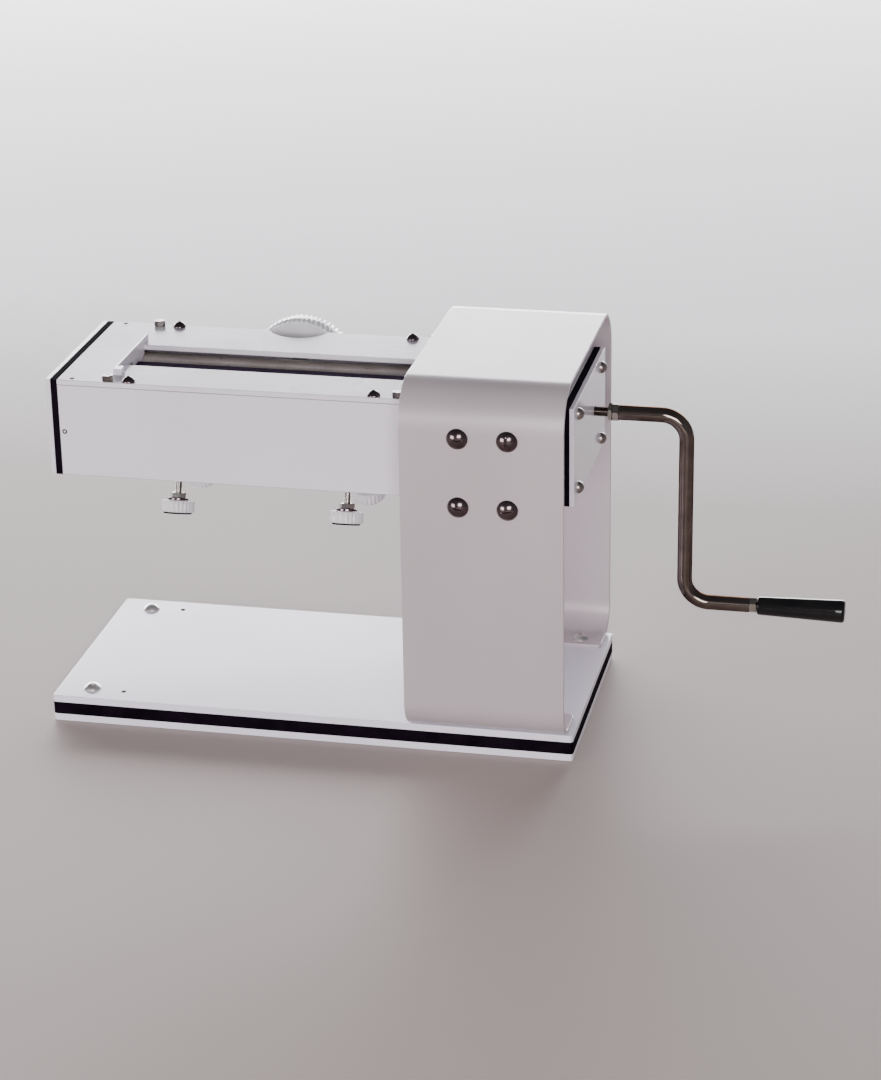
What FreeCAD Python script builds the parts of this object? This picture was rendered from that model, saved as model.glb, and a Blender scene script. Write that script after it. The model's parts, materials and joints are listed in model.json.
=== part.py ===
import FreeCAD, Part
import math
import os

os.makedirs("parts", exist_ok=True)
V = FreeCAD.Vector
X = V(1, 0, 0)
Y = V(0, 1, 0)
Z = V(0, 0, 1)

# Millimetres. Origin in the middle of the base's underside, X towards the crank, Y to the back, Z up.

# Fits
run_gap = 0.05
free_gap = 0.5

# Base: two white sheets around a black core, with rubber pads let into the underside
base_len = 430.0
base_dep = 201.0
base_corner = 3.0
pad_r = 11.0
pad_t = 2.5
blind_skin = 3.0
base_bottom_t = 6.0
base_core_t = 10.2
base_top_t = 6.0
base_screw_in = 28.0
base_screw_y = 81.5
base_screw_r = 3.0
base_dome_r = 7.0
base_dome_h = 4.6
base_pin_in = 55.5
base_pin_y = 84.0
pin_r = 1.6
pin_len = 9.0

# Tower: one bent sheet with inward flanges
sheet_t = 3.0
tower_x0 = 82.6
tower_w = 127.6
tower_half = 115.2
tower_top = 310.3
tower_bend = 34.0
tower_foot_bend = 24.0
flange_in = 67.0
flange_corner = 4.5
flange_screw_dx = 44.1
flange_screw_y = 79.0
flange_dome_r = 6.8
flange_dome_h = 4.0
bolt_dx = 19.2
bolt_side = 1.2
bolt_dz = 27.8
bolt_r = 3.0
bolt_dome_r = 8.3
bolt_dome_h = 4.4
spacer_r = 7.0
bolt_nut_af = 10.0
bolt_nut_h = 5.0

# Head box
head_x0 = -211.6
head_x1 = 211.3
head_half = 74.5
head_drop = 24.3
head_h = 80.0
cap_white_t = 3.8
cap_black_t = 5.3
plate_t = 8.0
lid_t = 4.2
left_wall_x1 = -187.5
right_wall_x0 = 93.5
right_wall_t = 14.0
end_wall_t = 12.0
bolt_z_drop = 2.1

# Slot in the top plate and the exit below
slot_x0 = -162.4
slot_x1 = 71.0
slot_y0 = -30.5
slot_w = 50.0
lip_x0 = -155.5
lip_reach = 21.5
lip_back = 14.5
lip_t = 3.2
exit_half = 15.0

# Rollers and gears
axis_rise = 44.0
rear_y = 22.25
roller_r = 27.5
gap_min = 0.5
gap_travel = 2.0
shaft_r = 6.0
bush_wall = 2.5
roller_side_gap = 1.0
gear_teeth = 14
gear_pitch_r = 28.0
gear_tip_r = 30.5
gear_tooth = 5.0
gear_x0 = 138.3
gear_w = 18.0
gear_clear = 0.6

# Crank
stub_r = 4.0
stub_in = 12.0
nut_x0 = 222.5
jam_nut_t = 3.6
crank_nut_t = 5.2
crank_nut_af = 13.0
tube_r = 6.0
crank_bend = 20.0
arm_x = 285.3
arm_drop = 158.6
grip_nut_x0 = 338.3
grip_nut_t = 6.0
grip_nut_af = 11.0
grip_x0 = 344.8
grip_len = 70.2
grip_r0 = 7.4
grip_r1 = 9.4
grip_edge = 1.0
grip_round = 2.5
spindle_r = 3.0

# Yoke
yoke_t = 7.5
yoke_half = 13.0
yoke_bar_t = 8.5
yoke_nose = 12.5
yoke_screw_r = 2.5
yoke_head_r = 4.5
yoke_head_t = 3.0

# Dial
dial_x = -44.0
dial_r = 43.7
dial_w = 17.5
dial_gap = 1.0
dial_ribs = 66
dial_rib = 1.3
dial_screw_r = 5.0
dial_flange_r = 13.0
dial_flange_t = 2.0
dial_collar_r = 9.0
notch_r = 26.3
notch_depth = 17.0
notch_drop = 22.0

# Wiper screws, leaning outwards
lean = 20.0
stud_offset = 25.0
stud_x = (-118.0, 22.0)
stud_r = 3.0
stud_tip_gap = 0.4
wiper_w = 12.0
wiper_t = 6.0
wiper_gap = 0.6
boss_r = 6.0
boss_top = 9.5
boss_drop = 13.0
collar_af = 11.0
collar_h = 4.4
washer_r = 8.6
washer_h = 2.0
knob_r = 13.4
knob_h = 11.0
knob_ribs = 24
knob_rib = 0.7
knob_out = {"front_left": 0.0, "front_right": 0.0, "rear_left": 0.0, "rear_right": 8.0}
knob_reach = 36.8

# Top plate fasteners
top_y = 69.5
hex_x = (-161.5, 72.8)
hex_af = 7.8
hex_h = 4.4
top_screw_r = 2.5
top_screw_len = 22.0
button_x = (-144.5, 53.4)
button_r = 5.3
button_h = 4.4
top_pin_x = -191.0
front_pin_x = -198.4
front_pin_drop = 3.3

# Pan screws of the caps and of the bottom plate
pan_r = 5.0
pan_h = 4.6
pan_shank_r = 2.0
pan_len = 16.0
pan_dy = 55.0
pan_dz = 30.3
pan_drop = 0.7
pan_low_h = 3.0
floor_screw_x = (-196.0, 100.5)
floor_screw_y = 45.0

# Width guide
guide_x0 = -161.1
guide_t = 1.6
guide_front = -57.0
guide_back = 31.5
guide_bar_h = 5.5
guide_foot = 5.4
guide_foot_dep = 8.0
guide_gap = 0.3
guide_rise = 11.0

# Derived positions
base_screw_x = base_screw_in - base_len / 2
base_pin_x = base_pin_in - base_len / 2
base_z1 = base_bottom_t
base_z2 = base_z1 + base_core_t
base_top = base_z2 + base_top_t
tower_x1 = tower_x0 + tower_w
tower_mid = (tower_x0 + tower_x1) / 2
head_z1 = tower_top - head_drop
head_z0 = head_z1 - head_h
axis_z = head_z0 + axis_rise
head_mid = (head_z0 + head_z1) / 2
lid_z0 = head_z1 - lid_t
floor_z1 = head_z0 + lid_t
left_in = head_x0 + cap_white_t + cap_black_t
right_in = head_x1 - cap_white_t - cap_black_t
plate_y = head_half - plate_t
right_wall_x1 = right_wall_x0 + right_wall_t
end_wall_x0 = right_in - end_wall_t
bolt_mid = head_mid - bolt_z_drop
front_pin_z = head_mid - front_pin_drop
front_y = rear_y - 2 * roller_r - gap_min
nip_y = (front_y + rear_y) / 2
slot_y1 = slot_y0 + slot_w
arm_left_x0 = left_wall_x1 + free_gap
arm_left_x1 = arm_left_x0 + yoke_t
arm_right_x1 = right_wall_x0 - free_gap
arm_right_x0 = arm_right_x1 - yoke_t
roller_x0 = arm_left_x1 + roller_side_gap
roller_x1 = arm_right_x0 - roller_side_gap
bar_y0 = rear_y + roller_r + gap_travel + 1.75
bar_y1 = bar_y0 + yoke_bar_t
dial_y0 = head_half + dial_flange_t + dial_gap
crank_z = axis_z
guide_tip = axis_z + guide_rise


def box(x0, x1, y0, y1, z0, z1):
    return Part.makeBox(x1 - x0, y1 - y0, z1 - z0, V(x0, y0, z0))


def rod(r, start, direction, length):
    return Part.makeCylinder(r, length, start, direction)


def place(shape, start, direction):
    shape.Placement = FreeCAD.Placement(start, FreeCAD.Rotation(Z, direction))
    return shape


def prism(points, length):
    wire = Part.makePolygon(points + [points[0]])
    return Part.Face(wire).extrude(V(0, 0, length))


def hexagon(across, start, direction, length):
    r = across / math.sqrt(3)
    points = []
    for i in range(6):
        a = math.radians(60 * i + 30)
        points.append(V(r * math.cos(a), r * math.sin(a), 0))
    return place(prism(points, length), start, direction)


def dome(r, h, start, direction):
    ball = (r * r + h * h) / (2 * h)
    half = math.asin(r / ball) / 2
    mid = V(ball * math.sin(half), 0, h - ball + ball * math.cos(half))
    arc = Part.Arc(V(r, 0, 0), mid, V(0, 0, h)).toShape()
    floor = Part.makeLine(V(0, 0, 0), V(r, 0, 0))
    middle = Part.makeLine(V(0, 0, h), V(0, 0, 0))
    face = Part.Face(Part.Wire([floor, arc, middle]))
    return place(face.revolve(V(0, 0, 0), Z, 360), start, direction)


def ribbed(r, depth, ribs, length):
    points = []
    for i in range(ribs):
        for share, reach in ((0.0, r), (0.45, r), (0.6, r - depth), (0.85, r - depth)):
            a = 2 * math.pi * (i + share) / ribs
            points.append(V(reach * math.cos(a), reach * math.sin(a), 0))
    return prism(points, length)


def drilled(shape, *holes):
    for hole in holes:
        shape = shape.cut(hole)
    return shape


def save(name, *solids):
    shape = solids[0] if len(solids) == 1 else Part.makeCompound(list(solids))
    shape.exportStep("parts/" + name + ".step")


# Positions of repeated fasteners

def pad_spots():
    right = tower_mid + flange_screw_dx
    return [(base_screw_x, -base_screw_y), (base_screw_x, base_screw_y),
            (right, -flange_screw_y), (right, flange_screw_y)]


def flange_spots():
    return [(tower_mid + sx * flange_screw_dx, sy * flange_screw_y) for sx in (-1, 1) for sy in (-1, 1)]


def base_pin_spots():
    return [(base_pin_x, -base_pin_y), (base_pin_x, base_pin_y)]


def bolt_spots():
    return [(tower_mid + bolt_side + sx * bolt_dx, bolt_mid + sz * bolt_dz) for sx in (-1, 1) for sz in (-1, 1)]


def top_spots(columns):
    return [(x, sy * top_y) for x in columns for sy in (-1, 1)]


def cap_spots():
    return [(sy * pan_dy, head_mid - pan_drop + sz * pan_dz) for sy in (-1, 1) for sz in (-1, 1)]


def floor_spots():
    return [(x, sy * floor_screw_y) for x in floor_screw_x for sy in (-1, 1)]


# Base

def base_slab(z0, z1):
    body = box(-base_len / 2, base_len / 2, -base_dep / 2, base_dep / 2, z0, z1)
    upright = [e for e in body.Edges if abs(e.tangentAt(e.FirstParameter).z) > 0.99]
    return body.makeFillet(base_corner, upright)


def screw_start(x, y):
    # screws over a pad end on it, the others stop inside the lower sheet
    over_pad = (x, y) in pad_spots()
    return pad_t if over_pad else blind_skin


def base_holes():
    spots = flange_spots() + [(base_screw_x, -base_screw_y), (base_screw_x, base_screw_y)]
    return [rod(base_screw_r, V(x, y, screw_start(x, y)), Z, base_top) for x, y in spots]


def base_bottom_plate():
    pads = [rod(pad_r, V(x, y, 0), Z, pad_t) for x, y in pad_spots()]
    return drilled(base_slab(0, base_z1), *pads, *base_holes())


def base_core():
    pins = [rod(pin_r, V(x, y, base_top - pin_len), Z, pin_len) for x, y in base_pin_spots()]
    return drilled(base_slab(base_z1, base_z2), *base_holes(), *pins)


def base_top_plate():
    pins = [rod(pin_r, V(x, y, base_top - pin_len), Z, pin_len) for x, y in base_pin_spots()]
    return drilled(base_slab(base_z2, base_top), *base_holes(), *pins)


def rubber_pads():
    return [rod(pad_r, V(x, y, 0), Z, pad_t) for x, y in pad_spots()]


def base_screws():
    out = []
    for y in (-base_screw_y, base_screw_y):
        start = screw_start(base_screw_x, y)
        shank = rod(base_screw_r, V(base_screw_x, y, start), Z, base_top - start)
        out.append(shank.fuse(dome(base_dome_r, base_dome_h, V(base_screw_x, y, base_top), Z)))
    return out


def dowel_pins():
    out = [rod(pin_r, V(x, y, base_top - pin_len), Z, pin_len) for x, y in base_pin_spots()]
    out += [rod(pin_r, V(x, y, head_z1 - pin_len), Z, pin_len) for x, y in top_spots((top_pin_x,))]
    out.append(rod(pin_r, V(front_pin_x, -head_half, front_pin_z), Y, pin_len))
    return out


# Tower

def arc_yz(cy, cz, r, a0, a1):
    points = []
    for a in (a0, (a0 + a1) / 2, a1):
        t = math.radians(a)
        points.append(V(tower_x0, cy + r * math.cos(t), cz + r * math.sin(t)))
    return Part.Arc(*points).toShape()


def line_yz(y0, z0, y1, z1):
    return Part.makeLine(V(tower_x0, y0, z0), V(tower_x0, y1, z1))


def half_sheet(s):
    # s is -1 for the front leg and 1 for the back leg; edges run from the top middle down and back up
    out_y = s * tower_half
    in_y = s * (tower_half - sheet_t)
    top_c = s * (tower_half - tower_bend)
    foot_c = s * (tower_half - tower_foot_bend)
    top_z = tower_top - tower_bend
    foot_z = base_top + tower_foot_bend
    side = 0 if s > 0 else 180
    turn = 90 if s > 0 else -90
    inner_top = tower_bend - sheet_t
    inner_foot = tower_foot_bend - sheet_t
    return [line_yz(0, tower_top, top_c, tower_top),
            arc_yz(top_c, top_z, tower_bend, 90, side),
            line_yz(out_y, top_z, out_y, foot_z),
            arc_yz(foot_c, foot_z, tower_foot_bend, side, side - turn),
            line_yz(foot_c, base_top, s * flange_in, base_top),
            line_yz(s * flange_in, base_top, s * flange_in, base_top + sheet_t),
            line_yz(s * flange_in, base_top + sheet_t, foot_c, base_top + sheet_t),
            arc_yz(foot_c, foot_z, inner_foot, side - turn, side),
            line_yz(in_y, foot_z, in_y, top_z),
            arc_yz(top_c, top_z, inner_top, side, 90),
            line_yz(top_c, tower_top - sheet_t, 0, tower_top - sheet_t)]


def tower():
    edges = half_sheet(-1) + half_sheet(1)
    wire = Part.Wire(Part.__sortEdges__(edges))
    body = Part.Face(wire).extrude(V(tower_w, 0, 0))
    tips = [e for e in body.Edges
            if abs(e.Length - sheet_t) < 0.01 and abs(e.tangentAt(e.FirstParameter).z) > 0.99]
    body = body.makeFillet(flange_corner, tips)
    holes = [rod(base_screw_r, V(x, y, base_top), Z, sheet_t) for x, y in flange_spots()]
    for x, z in bolt_spots():
        holes.append(rod(bolt_r, V(x, -tower_half, z), Y, 2 * tower_half))
    return drilled(body, *holes)


def tower_flange_screws():
    out = []
    for x, y in flange_spots():
        start = screw_start(x, y)
        top = base_top + sheet_t
        shank = rod(base_screw_r, V(x, y, start), Z, top - start)
        out.append(shank.fuse(dome(flange_dome_r, flange_dome_h, V(x, y, top), Z)))
    return out


def tower_bolts():
    out = []
    length = tower_half - plate_y + bolt_nut_h + 1.0
    for x, z in bolt_spots():
        for s in (-1, 1):
            start = V(x, s * tower_half, z)
            shank = rod(bolt_r, start, Y * -s, length)
            out.append(shank.fuse(dome(bolt_dome_r, bolt_dome_h, start, Y * s)))
    return out


def tower_spacers():
    out = []
    length = tower_half - sheet_t - head_half
    for x, z in bolt_spots():
        for s in (-1, 1):
            start = V(x, s * head_half, z)
            out.append(drilled(rod(spacer_r, start, Y * s, length), rod(bolt_r, start, Y * s, length), tower()))
    return out


def tower_nuts():
    out = []
    for x, z in bolt_spots():
        for s in (-1, 1):
            start = V(x, s * plate_y, z)
            nut = hexagon(bolt_nut_af, start, Y * -s, bolt_nut_h)
            out.append(nut.cut(rod(bolt_r, start, Y * -s, bolt_nut_h)))
    return out


# Head box

def side_holes(s):
    holes = [rod(bolt_r, V(x, s * plate_y, z), Y * s, plate_t) for x, z in bolt_spots()]
    for x, y in top_spots(hex_x + button_x):
        holes.append(rod(top_screw_r, V(x, y, lid_z0 - top_screw_len), Z, top_screw_len))
    for x, y in top_spots((top_pin_x,)):
        holes.append(rod(pin_r, V(x, y, head_z1 - pin_len), Z, pin_len))
    return holes


def front_plate():
    body = box(left_in, right_in, -head_half, -plate_y, head_z0, lid_z0)
    pin = rod(pin_r, V(front_pin_x, -head_half, front_pin_z), Y, pin_len)
    return drilled(body, *side_holes(-1), pin)


def notch(z0, z1):
    return rod(notch_r, V(dial_x, head_half - notch_depth + notch_r, z0), Z, z1 - z0)


def back_plate():
    body = box(left_in, right_in, plate_y, head_half, head_z0, lid_z0)
    bush = rod(dial_screw_r + bush_wall, V(dial_x, plate_y, axis_z), Y, plate_t)
    return drilled(body, *side_holes(1), bush, notch(lid_z0 - notch_drop, lid_z0))


def top_plate():
    body = box(left_in, right_in, -head_half, head_half, lid_z0, head_z1)
    slot = box(slot_x0, slot_x1, slot_y0, slot_y1, lid_z0, head_z1)
    holes = [rod(top_screw_r, V(x, y, lid_z0), Z, lid_t) for x, y in top_spots(hex_x + button_x)]
    holes += [rod(pin_r, V(x, y, lid_z0), Z, lid_t) for x, y in top_spots((top_pin_x,))]
    return drilled(body, slot, notch(lid_z0, head_z1), *holes)


def bottom_plate():
    body = box(left_in, right_in, -plate_y, plate_y, head_z0, floor_z1)
    exit_gap = box(slot_x0, slot_x1, nip_y - exit_half, nip_y + exit_half, head_z0, floor_z1)
    holes = [rod(pan_shank_r, V(x, y, head_z0), Z, lid_t) for x, y in floor_spots()]
    for name in knob_out:
        holes.append(along(name, boss_r, -boss_drop, boss_top))
    return drilled(body, exit_gap, *holes)


def cap_holes(x0, x1):
    return [rod(pan_shank_r, V(x0, y, z), X, x1 - x0) for y, z in cap_spots()]


def cap_sheet(x0, x1):
    return drilled(box(x0, x1, -head_half, head_half, head_z0, head_z1), *cap_holes(x0, x1))


def right_cap_sheet(x0, x1):
    return cap_sheet(x0, x1).cut(rod(stub_r + bush_wall, V(x0, rear_y, crank_z), X, x1 - x0))


def wall(x0, x1):
    return box(x0, x1, -plate_y, plate_y, floor_z1, lid_z0)


def floor_holes(column):
    return [rod(pan_shank_r, V(x, y, floor_z1), Z, pan_len - lid_t) for x, y in floor_spots() if x == column]


def cap_reach():
    return pan_len - cap_white_t - cap_black_t


def left_wall():
    bush = rod(shaft_r + bush_wall, V(left_wall_x1 - right_wall_t, rear_y, axis_z), X, right_wall_t)
    screws = cap_holes(left_in, left_in + cap_reach())
    pin = rod(pin_r, V(front_pin_x, -head_half, front_pin_z), Y, pin_len)
    return drilled(wall(left_in, left_wall_x1), bush, pin, *screws, *floor_holes(floor_screw_x[0]))


def right_wall():
    bush = rod(shaft_r + bush_wall, V(right_wall_x0, rear_y, axis_z), X, right_wall_t)
    return drilled(wall(right_wall_x0, right_wall_x1), bush, front_way(right_wall_x0, right_wall_x1),
                   *floor_holes(floor_screw_x[1]))


def front_way(x0, x1):
    # oblong hole that lets the front shaft follow the gap
    r = shaft_r + free_gap
    near = rod(r, V(x0, front_y, axis_z), X, x1 - x0)
    far = rod(r, V(x0, front_y - gap_travel, axis_z), X, x1 - x0)
    middle = box(x0, x1, front_y - gap_travel, front_y, axis_z - r, axis_z + r)
    return near.fuse(far).fuse(middle)


def right_end_wall():
    bush = rod(stub_r + bush_wall, V(end_wall_x0, rear_y, crank_z), X, end_wall_t)
    screws = cap_holes(right_in - cap_reach(), right_in)
    return drilled(wall(end_wall_x0, right_in), bush, *screws)


def pan_screw(head, inward, high):
    shank = rod(pan_shank_r, head, inward, pan_len)
    return shank.fuse(dome(pan_r, high, head, inward * -1))


def pan_screws():
    out = [pan_screw(V(head_x1, y, z), X * -1, pan_h) for y, z in cap_spots()]
    out += [pan_screw(V(head_x0, y, z), X, pan_h) for y, z in cap_spots()]
    out += [pan_screw(V(x, y, head_z0), Z, pan_low_h) for x, y in floor_spots()]
    return out


def top_hex_screws():
    out = []
    for x, y in top_spots(hex_x):
        shank = rod(top_screw_r, V(x, y, lid_z0 - top_screw_len), Z, top_screw_len + lid_t)
        out.append(shank.fuse(hexagon(hex_af, V(x, y, head_z1), Z, hex_h)))
    return out


def top_button_screws():
    out = []
    for x, y in top_spots(button_x):
        shank = rod(top_screw_r, V(x, y, lid_z0 - top_screw_len), Z, top_screw_len + lid_t)
        out.append(shank.fuse(dome(button_r, button_h, V(x, y, head_z1), Z)))
    return out


def slot_lip():
    return box(lip_x0, slot_x1, slot_y0 - lip_back, slot_y0 + lip_reach, lid_z0 - lip_t, lid_z0)


def tube(r, wall_t, start, direction, length):
    return rod(r + wall_t, start, direction, length).cut(rod(r, start, direction, length))


def wall_bushes():
    left = tube(shaft_r + run_gap, bush_wall - run_gap,
                V(left_wall_x1 - right_wall_t, rear_y, axis_z), X, right_wall_t)
    right = tube(shaft_r + run_gap, bush_wall - run_gap, V(right_wall_x0, rear_y, axis_z), X, right_wall_t)
    length = head_x1 - end_wall_x0
    end = rod(stub_r + bush_wall, V(end_wall_x0, rear_y, crank_z), X, length)
    end = end.cut(rod(stub_r + run_gap, V(end_wall_x0, rear_y, crank_z), X, length))
    return [left, right, end]


def dial_bush():
    start = V(dial_x, plate_y, axis_z)
    body = rod(dial_screw_r + bush_wall, start, Y, plate_t)
    body = body.fuse(rod(dial_flange_r, V(dial_x, head_half, axis_z), Y, dial_flange_t))
    return body.cut(rod(dial_screw_r + run_gap, start, Y, plate_t + dial_flange_t))


# Wiper screws and wipers

def stud_foot(name):
    side = -1 if name.startswith("front") else 1
    x = stud_x[0] if name.endswith("left") else stud_x[1]
    a = math.radians(lean)
    up = V(0, -side * math.sin(a), math.cos(a))
    return V(x, nip_y + side * stud_offset, head_z0), up


def along(name, r, s0, s1):
    foot, up = stud_foot(name)
    return rod(r, foot + up * s0, up, s1 - s0)


def wiper_bottom():
    # distance up the stud's line from the plate's underside to the wiper's lower face
    foot, up = stud_foot("front_left")
    to_axis = V(foot.x, front_y, axis_z) - foot
    reach = to_axis.dot(up)
    off = math.sqrt(to_axis.Length ** 2 - reach ** 2)
    return reach - math.sqrt((roller_r + wiper_gap) ** 2 - off ** 2) - wiper_t


def wiper(name, roller_y):
    foot, up = stud_foot(name)
    across = up.cross(X)
    s0 = wiper_bottom()
    corner = V(left_wall_x1, foot.y, foot.z) + up * s0 - across * (wiper_w / 2)
    points = [corner, corner + across * wiper_w, corner + across * wiper_w + up * 9, corner + up * 9]
    bar = Part.Face(Part.makePolygon(points + [points[0]])).extrude(V(right_wall_x0 - left_wall_x1, 0, 0))
    seat = rod(roller_r + wiper_gap, V(left_wall_x1, roller_y, axis_z), X, right_wall_x0 - left_wall_x1)
    return bar.cut(seat)


def stud_bosses():
    out = []
    for name in knob_out:
        boss = along(name, boss_r, -boss_drop, boss_top)
        out.append(boss.cut(along(name, stud_r + run_gap, -boss_drop, boss_top)))
    return out


def stud(name):
    drop = knob_out[name]
    tip = wiper_bottom() - stud_tip_gap - drop
    knob_top = -knob_reach - drop + knob_h / 2
    foot, up = stud_foot(name)
    body = along(name, stud_r, knob_top - knob_h + 2.0, tip)
    body = body.fuse(along(name, washer_r, knob_top + run_gap, knob_top + washer_h))
    return body.fuse(hexagon(collar_af, foot + up * (knob_top + washer_h), up, collar_h))


def knob(name):
    foot, up = stud_foot(name)
    low = -knob_reach - knob_out[name] - knob_h / 2
    body = place(ribbed(knob_r, knob_rib, knob_ribs, knob_h - 1.5), foot + up * (low + 1.5), up)
    body = body.fuse(along(name, knob_r - 2.2, low, low + 1.5))
    return body.cut(along(name, stud_r + run_gap, low + 1.5, low + knob_h))


# Width guide

def width_guide():
    x1 = guide_x0 + guide_t
    bar = box(guide_x0, x1, guide_front, guide_back, head_z1 + run_gap, head_z1 + guide_bar_h)
    foot = box(x1, x1 + guide_foot, guide_front, guide_front + guide_foot_dep,
               head_z1 + run_gap, head_z1 + guide_bar_h)
    neck = box(guide_x0, x1, slot_y0 + guide_gap, slot_y1 - guide_gap, lid_z0 + guide_gap, head_z1 + run_gap)
    blade = box(guide_x0, x1, slot_y0 + lip_reach + guide_gap, slot_y1 - guide_gap, guide_tip, lid_z0 + guide_gap)
    r = roller_r + free_gap
    for y in (front_y, rear_y):
        blade = blade.cut(rod(r, V(guide_x0, y, axis_z), X, guide_t))
    keep = [s for s in blade.Solids if s.BoundBox.ZMax > lid_z0]
    return bar.fuse(foot).fuse(neck).fuse(keep[0]).removeSplitter()


# Crank and rear roller

def roller(y):
    return tube(shaft_r, roller_r - shaft_r, V(roller_x0, y, axis_z), X, roller_x1 - roller_x0)


def involute(angle):
    return math.tan(angle) - angle


def gear(y, first):
    base_r = gear_pitch_r * math.cos(math.radians(20))
    root_r = rear_y - front_y - gear_tip_r - gear_clear
    half = gear_tooth / 2 / gear_pitch_r + involute(math.radians(20))
    flank = [(root_r, half)]
    for i in range(5):
        r = base_r + (gear_tip_r - base_r) * i / 4
        flank.append((r, half - involute(math.acos(base_r / r))))
    points = []
    for i in range(gear_teeth):
        middle = first + 2 * math.pi * i / gear_teeth
        for r, a in flank:
            points.append(V(gear_x0, y + r * math.cos(middle - a), axis_z + r * math.sin(middle - a)))
        for r, a in reversed(flank):
            points.append(V(gear_x0, y + r * math.cos(middle + a), axis_z + r * math.sin(middle + a)))
    body = Part.Face(Part.makePolygon(points + [points[0]])).extrude(V(gear_w, 0, 0))
    return body.cut(rod(shaft_r, V(gear_x0, y, axis_z), X, gear_w))


def drive_shaft():
    start = left_wall_x1 - right_wall_t + free_gap
    end = end_wall_x0 - free_gap
    body = rod(shaft_r, V(start, rear_y, axis_z), X, end - start)
    tail = nut_x0 + jam_nut_t + crank_nut_t + stub_in
    return body.fuse(rod(stub_r, V(end, rear_y, axis_z), X, tail - end))


def crank_path():
    x0 = nut_x0 + jam_nut_t + crank_nut_t
    z1 = crank_z - arm_drop
    r = crank_bend
    k = r * math.sqrt(0.5)
    first = Part.makeLine(V(x0, rear_y, crank_z), V(arm_x - r, rear_y, crank_z))
    upper = Part.Arc(V(arm_x - r, rear_y, crank_z), V(arm_x - r + k, rear_y, crank_z - r + k),
                     V(arm_x, rear_y, crank_z - r)).toShape()
    down = Part.makeLine(V(arm_x, rear_y, crank_z - r), V(arm_x, rear_y, z1 + r))
    lower = Part.Arc(V(arm_x, rear_y, z1 + r), V(arm_x + r - k, rear_y, z1 + r - k),
                     V(arm_x + r, rear_y, z1)).toShape()
    last = Part.makeLine(V(arm_x + r, rear_y, z1), V(grip_nut_x0, rear_y, z1))
    return Part.Wire([first, upper, down, lower, last])


def crank_arm():
    path = crank_path()
    start = path.Vertexes[0].Point
    outer = Part.Wire([Part.makeCircle(tube_r, start, X)])
    inner = Part.Wire([Part.makeCircle(stub_r, start, X)])
    skin = path.makePipeShell([outer], True, False)
    return skin.cut(path.makePipeShell([inner], True, False))


def crank_nuts():
    out = []
    for x0, t in ((nut_x0, jam_nut_t), (nut_x0 + jam_nut_t, crank_nut_t)):
        start = V(x0, rear_y, crank_z)
        out.append(hexagon(crank_nut_af, start, X, t).cut(rod(stub_r, start, X, t)))
    return out


def grip_spindle():
    z = crank_z - arm_drop
    x0 = grip_nut_x0 - 14.0
    body = rod(stub_r, V(x0, rear_y, z), X, grip_nut_x0 - x0)
    return body.fuse(rod(spindle_r, V(grip_nut_x0, rear_y, z), X, grip_x0 + grip_len - 8.0 - grip_nut_x0))


def grip_nut():
    start = V(grip_nut_x0, rear_y, crank_z - arm_drop)
    return hexagon(grip_nut_af, start, X, grip_nut_t).cut(rod(spindle_r, start, X, grip_nut_t))


def grip():
    start = V(grip_x0, rear_y, crank_z - arm_drop)
    body = Part.makeCone(grip_r0, grip_r1, grip_len, start, X)
    rims = [e for e in body.Edges if e.BoundBox.XLength < 0.01]
    near = [e for e in rims if e.BoundBox.XMax < grip_x0 + 1]
    body = body.makeFillet(grip_edge, near)
    far = [e for e in body.Edges if e.BoundBox.XMin > grip_x0 + grip_len - 0.1]
    body = body.makeFillet(grip_round, far)
    return body.cut(rod(spindle_r + run_gap, start, X, grip_len - 7.0))


# Yoke with the front roller

def oblong(x0, x1):
    # clears the rear shaft while the yoke moves
    r = shaft_r + free_gap
    near = rod(r, V(x0, rear_y, axis_z), X, x1 - x0)
    far = rod(r, V(x0, rear_y + gap_travel, axis_z), X, x1 - x0)
    middle = box(x0, x1, rear_y, rear_y + gap_travel, axis_z - r, axis_z + r)
    return near.fuse(far).fuse(middle)


def yoke_screw_spots():
    y = (bar_y0 + bar_y1) / 2
    return [(y, axis_z - yoke_half / 2), (y, axis_z + yoke_half / 2)]


def yoke_arm(x0, x1, outside, inward):
    body = box(x0, x1, front_y - yoke_nose, bar_y1, axis_z - yoke_half, axis_z + yoke_half)
    holes = [rod(shaft_r + run_gap, V(x0, front_y, axis_z), X, yoke_t), oblong(x0, x1)]
    for y, z in yoke_screw_spots():
        holes.append(rod(yoke_screw_r, V(outside, y, z), inward, yoke_t))
        holes.append(rod(yoke_head_r, V(outside, y, z), inward, yoke_head_t))
    return drilled(body, *holes)


def yoke_bar():
    body = box(arm_left_x1, arm_right_x0, bar_y0, bar_y1, axis_z - yoke_half, axis_z + yoke_half)
    holes = [rod(dial_screw_r + run_gap, V(dial_x, bar_y0, axis_z), Y, yoke_bar_t)]
    for y, z in yoke_screw_spots():
        holes.append(rod(yoke_screw_r, V(arm_left_x1, y, z), X, 12))
        holes.append(rod(yoke_screw_r, V(arm_right_x0 - 12, y, z), X, 12))
    return drilled(body, *holes)


def yoke_screws():
    out = []
    for outside, inward in ((arm_left_x0, X), (arm_right_x1, X * -1)):
        for y, z in yoke_screw_spots():
            start = V(outside, y, z)
            shank = rod(yoke_screw_r, start, inward, yoke_t + 12)
            out.append(shank.fuse(rod(yoke_head_r, start, inward, yoke_head_t)))
    return out


def front_shaft():
    start = arm_left_x0 + 0.2
    return rod(shaft_r, V(start, front_y, axis_z), X, gear_x0 + gear_w + 2 - start)


# Dial

def dial_wheel():
    body = ribbed(dial_r, dial_rib, dial_ribs, dial_w)
    body = place(body, V(dial_x, dial_y0, axis_z), Y)
    return body.cut(rod(dial_screw_r, V(dial_x, dial_y0, axis_z), Y, dial_w))


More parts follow.
